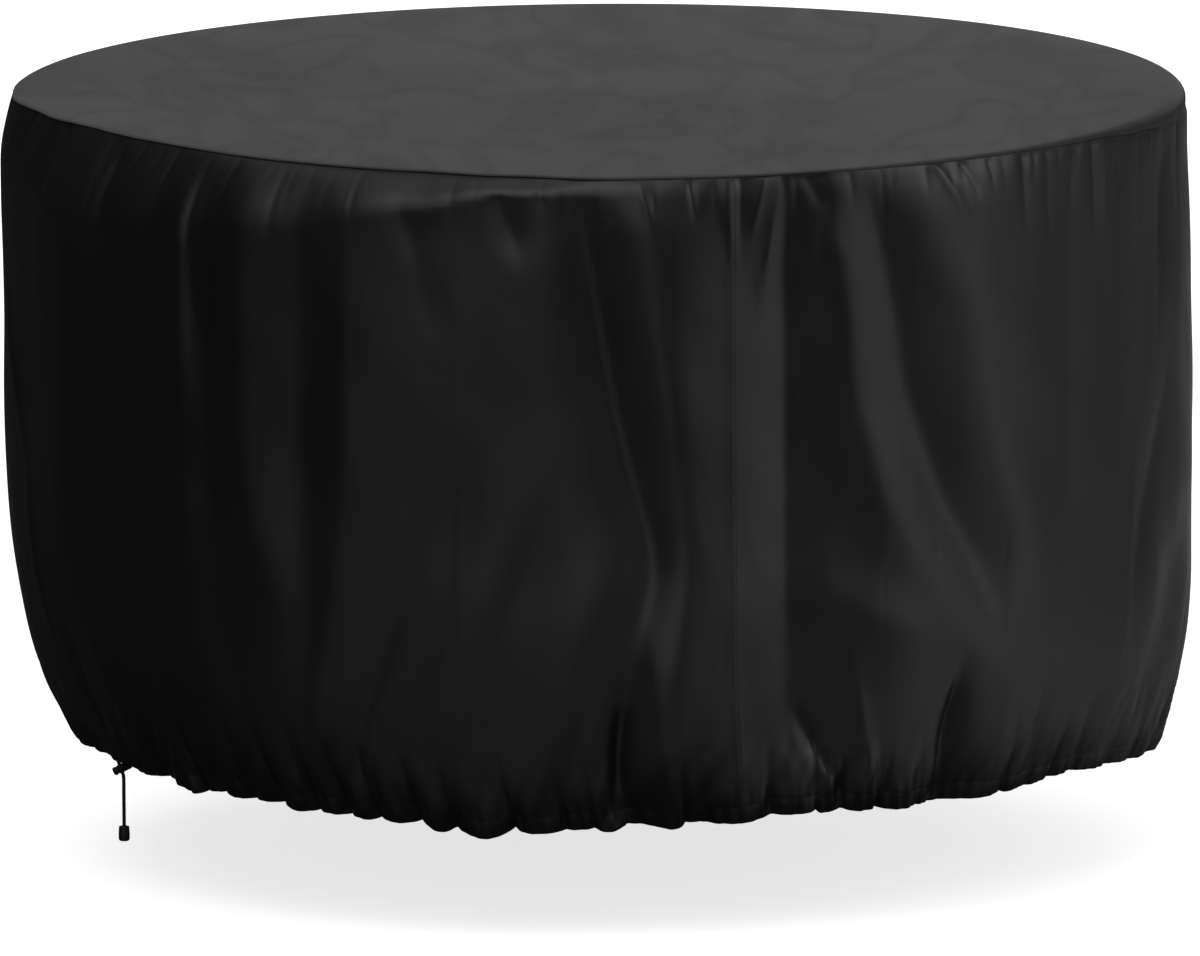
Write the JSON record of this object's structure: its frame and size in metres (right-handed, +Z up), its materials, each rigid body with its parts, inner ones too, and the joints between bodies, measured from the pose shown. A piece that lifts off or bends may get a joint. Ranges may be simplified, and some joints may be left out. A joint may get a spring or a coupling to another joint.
{
  "type": "round patio furniture cover",
  "caption": "Round fitted furniture cover in black coated cloth: flat top panel, hanging skirt with soft folds, and a hem gathered by a drawcord with a cord lock.",
  "frame": {"origin": "middle of the top panel's underside, where the furniture carries the cover", "axes": "+Z up out of the top panel; -Y is the front that the picture shows; the cord lock hangs at -X towards the front"},
  "size_m": [1.282, 1.2853, 0.7767],
  "materials": {
    "coated_cloth": "black plain-weave coated polyester cloth with a low, soft sheen",
    "braided_cord": "black braided polyester cord, matt",
    "moulded_plastic": "black moulded plastic, satin"
  },
  "bodies": {
    "cover": {"top_panel": "coated_cloth", "skirt": "coated_cloth", "drawcord": "braided_cord", "cord_lock_body": "moulded_plastic", "cord_end": "moulded_plastic"},
    "lock_button": {"cord_lock_button": "moulded_plastic"}
  },
  "joints": [
    {"name": "lock_button_press", "type": "slide", "parent": "cover", "child": "lock_button", "axis": [0.8574, 0.3693, 0.3584], "range_m": [0, 0.0012], "stiffness_N_per_m": 600, "springref_m": -0.003}
  ]
}
